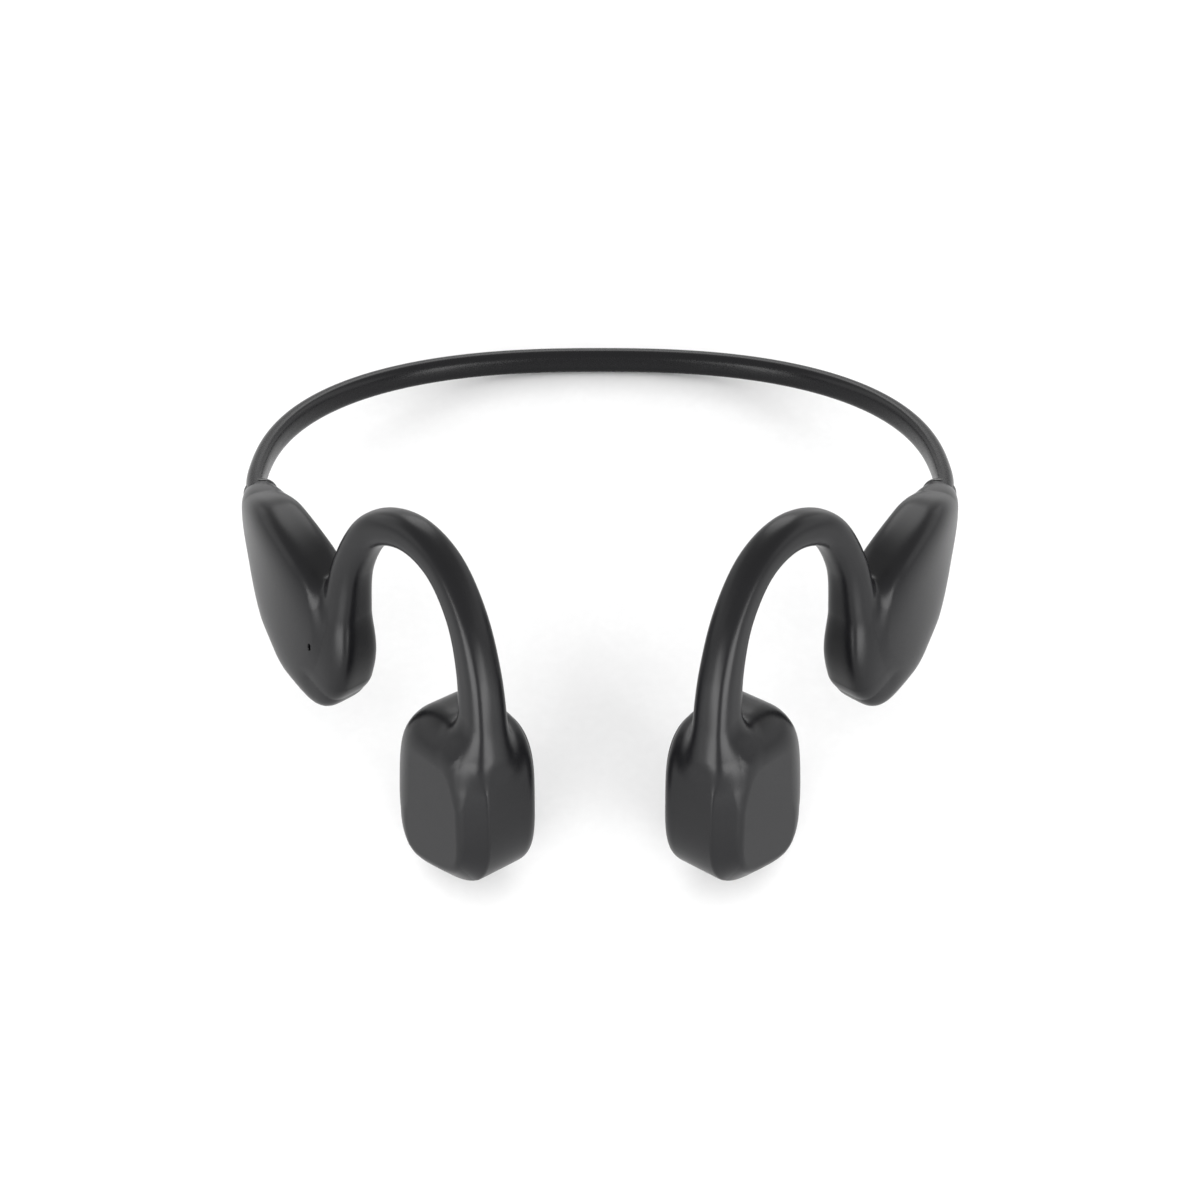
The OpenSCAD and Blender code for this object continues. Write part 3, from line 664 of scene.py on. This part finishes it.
def key_place(name, side):
    """Middle of a key at the pod's edge, and its axes along, towards the head and out, on the left arm."""
    mirror = np.array([SIDES[side], 1, 1])
    out = -worn_of(np.array(joints[name + "_press"]["axis"]) * MM * mirror + table_shift * MM)
    out /= np.linalg.norm(out)
    ahead = -out[:2] / np.linalg.norm(out[:2])
    head = -np.array([-ahead[1], ahead[0], 0])
    axes = np.stack([np.cross(head, out), head, out])
    local = worn_of(node_points(name) * mirror) @ axes.T
    middle = (local.min(0) + local.max(0)) / 2
    middle[2] = local[:, 2].max() - KEY_TOP
    return middle @ axes, axes


def arm_place(along, up, out, turn):
    """A point of the arm's sheet, with axes forwards and up turned by an angle about outwards."""
    angle = heading(along)
    forward = np.array([-math.sin(angle), -math.cos(angle), 0])
    outward = np.array([math.cos(angle), -math.sin(angle), 0])
    upward = np.array([0, 0, 1.0])
    axes = np.stack([math.cos(turn) * forward - math.sin(turn) * upward, outward,
                     math.sin(turn) * forward + math.cos(turn) * upward])
    return bent(np.array([along, up, out], float)), axes


def local_to(place, worn):
    """Worn-frame points in a place's own axes."""
    middle, axes = place
    return (worn - middle) @ axes.T


def pill_distance(x, y, length, width):
    """Distance to a stadium: a segment of length minus width, grown by half the width."""
    beyond = np.maximum(np.abs(x) - (length - width) / 2, 0)
    return np.hypot(beyond, y) - width / 2


KEY_SIDE = {"key_plus": "right", "key_minus": "right", "key_call": "left"}
key_places = {name: key_place(name, side) for name, side in KEY_SIDE.items()}
dock_place = arm_place(*PACK_AT, POD_FACE, PACK_TURN)
mic_place = arm_place(*MIC_AT, MIC_OUT, MIC_TURN)
for name, (middle, axes) in key_places.items():
    print(name, "at", middle.round(2), "out along", axes[2].round(2))

# %% [markdown]
# The pod opens on the head side under a cover that is let in flush, with a fine gap all round.
# The cover's outline is the pod's own, drawn in, and it ends a little past the pod's path.

# %% The arm's and the cover's fields
POD_HOOK_FILLET, DRIVER_FILLET, POD_MOUTH = 3.4, 4.5, -1.2
END_POWER, SHARE_MM = 2.1, 4.0
COVER_INSET, COVER_FLOOR, COVER_GAP, COVER_CORNER = 2.2, -3.2, 0.16, 2.5
COVER_FROM, COVER_PAST = 6.0, 4.4
KEY_GAP, KEY_POCKET = 0.2, 1.5
cover_start = np.interp(COVER_FROM, pod_sweep["path"][:, 0], pod_sweep["at"])
cover_end = pod_sweep["at"][-1] + COVER_PAST


def pod_and_hook(flat):
    """One sheet: the two outlines joined with a fillet, and a superellipse over its half thickness."""
    pod, pod_row = outline_distance(pod_sweep, flat)
    hook, hook_row = outline_distance(hook_sweep, flat)
    share = np.clip(0.5 + 0.5 * (hook - pod) / SHARE_MM, 0, 1)
    share = share * share * (3 - 2 * share)
    middle, wide, thick, power = [a * share + b * (1 - share) for a, b in zip(pod_row, hook_row)]
    edge = np.maximum(smooth_min(pod, hook, POD_HOOK_FILLET) + wide, 0)
    sheet = to_distance([(edge, wide), (np.abs(flat[:, 2] - middle), thick)], power)
    return np.maximum(sheet, POD_MOUTH - flat[:, 0])


def cover_distance(flat, grow):
    """The cover's outline inside the pod's, between two places along it, on the head side of a floor."""
    outline, _ = outline_distance(pod_sweep, flat)
    foot, _, past = foot_on_path(pod_sweep, flat)
    along = foot + past
    ends = np.maximum(cover_start - along, along - cover_end)
    side = smooth_max(outline + COVER_INSET, ends, COVER_CORNER)
    return np.maximum(side, flat[:, 2] - COVER_FLOOR) - grow


def key_hole(name, worn):
    """A pill-shaped pocket a little larger than the key."""
    along, across, out = local_to(key_places[name], worn).T
    side = pill_distance(along, across, KEY_LONG, KEY_WIDE) - KEY_GAP
    return np.maximum(side, -KEY_POCKET - out)


def mic_slot(worn):
    """A short upright slot over the microphone."""
    along, out, up = local_to(mic_place, worn).T
    return np.maximum(pill_distance(up, along, MIC_LONG, MIC_WIDE), -(out + MIC_DEEP))


def dock_recess(worn):
    """The shallow pill-shaped recess for the charging lead, and the two holes for its pins."""
    along, out, across = local_to(dock_place, worn).T
    recess = np.maximum(pill_distance(along, across, DOCK_LONG, DOCK_WIDE), out - DOCK_DEEP)
    pins = np.hypot(np.abs(along) - PIN_APART / 2, across) - PIN_ACROSS / 2
    return np.minimum(recess, np.maximum(pins, out - PIN_DEEP))


def arm_field(side):
    """The whole skin of one arm as a distance field over the flat pattern."""
    keys = [name for name, its_side in KEY_SIDE.items() if its_side == side]

    def field(flat):
        """Pod, hook and housing joined, less every opening."""
        worn = bent(flat)
        skin = smooth_min(pod_and_hook(flat), housing_distance(worn), DRIVER_FILLET)
        cuts = [mouth_distance(worn), cover_distance(flat, COVER_GAP)]
        cuts += [key_hole(name, worn) for name in keys]
        cuts += [mic_slot(worn)] if side == "right" else []
        for cut in cuts:
            skin = np.maximum(skin, -cut)
        return skin
    return field


def cover_field(side):
    """The cover: the pod's skin inside the cover's outline, with the dock on the right."""
    def field(flat):
        """The skin kept within the cover's outline, less the dock."""
        plate = np.maximum(pod_and_hook(flat), cover_distance(flat, 0))
        return np.maximum(plate, -dock_recess(bent(flat))) if side == "right" else plate
    return field


# %% [markdown]
# Each field is contoured over a box of the flat pattern, then bent, and mirrored for the right
# arm.  Its slopes become the normals, so the facets never show.

# %% Mesh the arms and the covers
ARM_LOW, ARM_HIGH, ARM_STEP = (-3.1, -31.2, -9.9), (86.3, 43.4, 10.3), 0.42
COVER_LOW, COVER_HIGH, COVER_STEP = (0.0, -16.0, -7.5), (41.0, 30.0, -1.5), 0.36


def field_piece(name, side, field, low, high, step, material, replaces):
    """Contours a field, bends it to the arm's plan, mirrors it if need be and seats it on the table."""
    flat, quads, slope = contour(field, low, high, step)
    worn = both_sides(bent(flat), side)
    normals = tipped(both_sides(bent_direction(flat, slope), side))
    faces = outward_faces(worn, quads.tolist())
    print(name, len(flat), "points,", len(quads), "quads")
    return make_piece(name, seated(worn), faces, material, body="arm_" + side,
                      replaces=replaces, normals=normals)


for side in SIDES:
    field_piece("arm_skin_" + side, side, arm_field(side), ARM_LOW, ARM_HIGH, ARM_STEP,
                moulded_black, ["arm_shell_" + side])
    field_piece("pod_lid_" + side, side, cover_field(side), COVER_LOW, COVER_HIGH, COVER_STEP,
                moulded_black, ["pod_cover_" + side])

# %% [markdown]
# Where the band enters the pod a thin polished collar grips it.  Its profile is a lip, a straight
# wall and a fine groove against the pod, carried round the pod's oval mouth.

# %% The collars
COLLAR_PROFILE = ((-2.6, 0.6), (-2.52, 0.28), (-2.34, 0.08), (-2.05, 0.0), (-1.62, 0.0), (-1.5, 0.06),
                  (-1.44, 0.3), (-1.1, 0.34))
COLLAR_AROUND = 64
mouth_row = POD_ROWS[0]


def collar_ring(along, inset):
    """The pod's mouth oval at one place along, drawn in by inset."""
    _, up, out, wide, thick, power = mouth_row
    section = oval(wide - inset, thick - inset, power, COLLAR_AROUND)
    station = np.full(COLLAR_AROUND, along)
    return bent(np.stack([station, up - section[:, 0], out + section[:, 1]], axis=-1))


collar_points, collar_faces = skin_rings(np.stack([collar_ring(*row) for row in COLLAR_PROFILE]))
for side in SIDES:
    worn = both_sides(collar_points, side)
    make_piece("collar_ring_" + side, seated(worn), outward_faces(worn, collar_faces), polished_black,
               body="arm_" + side, replaces=["collar_" + side])

# %% [markdown]
# The contact pad is one soft moulding: straight sides that dip into the housing, a round shoulder
# and a face that is barely crowned.  Each ring is the pad's oval outline, drawn in and moved out.

# %% The contact pads
PAD_INSET, PAD_FACE, PAD_BACK, PAD_SHOULDER, PAD_CROWN = 2.6, -9.6, -3.35, 1.3, 0.14
PAD_AROUND, SHOULDER_RINGS = 160, 9
SIDE_AT, FACE_SHRINK = (PAD_BACK, -5.0, -7.0), (0.93, 0.8, 0.6, 0.4, 0.2)


def pad_ring(inset, out, shrink=1.0):
    """The oval outline drawn in by inset and shrunk towards its middle, at a depth out."""
    outline = oval(DRIVER_WIDE / 2 - inset, DRIVER_HIGH / 2 - inset, DRIVER_POWER, PAD_AROUND)
    outline = outline * shrink
    return (driver_middle + outline[:, :1] * driver_forward + out * driver_outward
            + outline[:, 1:] * np.array([0, 0, 1.0]))


shoulder = np.linspace(0, math.pi / 2, SHOULDER_RINGS)
sides_rings = [pad_ring(PAD_INSET, out) for out in SIDE_AT]
shoulder_rings = [pad_ring(PAD_INSET + PAD_SHOULDER * (1 - math.cos(t)),
                           PAD_FACE + PAD_CROWN + PAD_SHOULDER * (1 - math.sin(t))) for t in shoulder]
face_rings = [pad_ring(PAD_INSET + PAD_SHOULDER, PAD_FACE + PAD_CROWN * f ** 2, f) for f in FACE_SHRINK]
pad_points, pad_faces = skin_rings(np.stack(sides_rings + shoulder_rings + face_rings))
for side in SIDES:
    worn = both_sides(pad_points, side)
    make_piece("pad_" + side, seated(worn), outward_faces(worn, pad_faces), pad_silicone,
               body="driver_" + side, replaces=["contact_pad_" + side], sharp=60)

# %% [markdown]
# A key is a pill with a flange under the shell and a rounded top.  Raised bars mark the volume
# keys and a dot the call key, so that a finger can tell them apart.

# %% The keys


def pill_ring(length, width, around=48):
    """A stadium's outline: an arc of half the width round each end of a straight middle."""
    turn = np.linspace(0, 2 * np.pi, around, endpoint=False) + np.pi / around
    x = width / 2 * np.cos(turn) + np.sign(np.cos(turn)) * (length - width) / 2
    return np.stack([x, width / 2 * np.sin(turn)], axis=-1)


def pill_stack(length, width, profile, spin=0.0, centre=0.0):
    """Rings of a pill for each (out, inset) of the profile, turned by spin in its own plane."""
    rings = []
    for out, inset in profile:
        flat_ring = pill_ring(length - 2 * inset, width - 2 * inset)
        x = flat_ring[:, 0] * math.cos(spin) - flat_ring[:, 1] * math.sin(spin) + centre
        y = flat_ring[:, 0] * math.sin(spin) + flat_ring[:, 1] * math.cos(spin)
        rings.append(np.stack([x, y, np.full(len(x), out)], axis=-1))
    return skin_rings(np.stack(rings))


def joined(stacks):
    """Several closed shapes as one list of points and faces."""
    points, faces, offset = [], [], 0
    for stack_points, stack_faces in stacks:
        points.append(stack_points)
        faces += [[corner + offset for corner in face] for face in stack_faces]
        offset += len(stack_points)
    return np.concatenate(points), faces


FLANGE_PROFILE = ((-2.3, -KEY_FLANGE / 2), (-1.62, -KEY_FLANGE / 2), (-1.6, 0.0), (0.1, 0.0), (0.3, 0.04),
                  (0.44, 0.14), (0.53, 0.32), (0.56, 0.6), (0.58, 1.0))
MARK_PROFILE = ((0.4, 0.0), (0.66, 0.0), (0.71, 0.05), (0.72, 0.11))
MARKS = {"key_plus": ((1.5, 0.36, 0.0), (1.5, 0.36, math.pi / 2)), "key_minus": ((1.5, 0.36, 0.0),),
         "key_call": ((0.6, 0.59, 0.0),)}
for name, side in KEY_SIDE.items():
    stacks = [pill_stack(KEY_LONG, KEY_WIDE, FLANGE_PROFILE)]
    stacks += [pill_stack(long, wide, MARK_PROFILE, spin) for long, wide, spin in MARKS[name]]
    local, faces = joined(stacks)
    middle, axes = key_places[name]
    worn = both_sides(middle + local @ axes, side)
    make_piece(name + "_cap", seated(worn), outward_faces(worn, faces), key_rubber,
               body=name, replaces=[name], sharp=50)

# %% [markdown]
# ## Studio
# The headset stands on a pale floor.  Soft low boxes at the left, the right and behind light the
# rims, and two small ones low in front light the chamfers.  Nothing hangs overhead, so the
# faces that look up stay dark.

# %% Floor, lights and camera
pale = finish("pale_paper", "#f4f4f4", "#f0f0f0", 0.9, 2.0, 0.0, IOR=1.4)
FLOOR_M = 6.0
bpy.ops.mesh.primitive_plane_add(size=FLOOR_M)
floor = bpy.context.object
floor.name = "floor"
floor.data.materials.append(pale)


def soft_box(name, place, size, power):
    """A rectangular area light at place, turned to face the middle of the headset."""
    light = bpy.data.lights.new(name, "AREA")
    light.shape = "RECTANGLE"
    light.size, light.size_y = size
    light.energy = power
    box = bpy.data.objects.new(name, light)
    bpy.context.scene.collection.objects.link(box)
    box.location = place
    box.visible_camera = False
    box.rotation_mode = "QUATERNION"
    box.rotation_quaternion = (Vector(LIGHT_AIM) - Vector(place)).to_track_quat("-Z", "Y")


# Each box: place and size in metres, power in watts
LIGHT_AIM = (0, 0, 0.02)
SOFT_BOXES = {
    "left_box": ((-0.5, 0.16, 0.22), (0.8, 0.3), 0.8), "right_box": ((0.5, 0.16, 0.22), (0.8, 0.3), 0.8),
    "back_box": ((0, 0.6, 0.3), (0.3, 0.35), 1.0),
    "front_left_box": ((-0.2, -0.3, 0.08), (0.26, 0.14), 1.0),
    "front_right_box": ((0.2, -0.3, 0.08), (0.26, 0.14), 1.0),
}
for name, (place, size, power) in SOFT_BOXES.items():
    soft_box(name, place, size, power)

# The plain transform keeps the blacks as deep as their colours say
bpy.context.scene.view_settings.view_transform = "Standard"
world = bpy.data.worlds.new("studio")
bpy.context.scene.world = world
world.use_nodes = True
WORLD_STRENGTH = 0.95
background = world.node_tree.nodes["Background"]
background.inputs["Color"].default_value = linear("#ffffff")
background.inputs["Strength"].default_value = WORLD_STRENGTH

CAMERA_MM, CAMERA_TILT, LENS_MM = 450.0, math.radians(30) + REST_PITCH, 66.15
target = Vector(seated(np.zeros(3)).tolist())
back = Vector((0, -math.cos(CAMERA_TILT), math.sin(CAMERA_TILT)))
camera_data = bpy.data.cameras.new("camera")
camera_data.lens = LENS_MM
camera_data.sensor_width = 36.0
camera_data.clip_start, camera_data.clip_end = 0.01, 20.0
camera = bpy.data.objects.new("camera", camera_data)
bpy.context.scene.collection.objects.link(camera)
camera.location = target + back * CAMERA_MM * MM
camera.rotation_mode = "QUATERNION"
camera.rotation_quaternion = (-back).to_track_quat("-Z", "Y")
bpy.context.scene.camera = camera
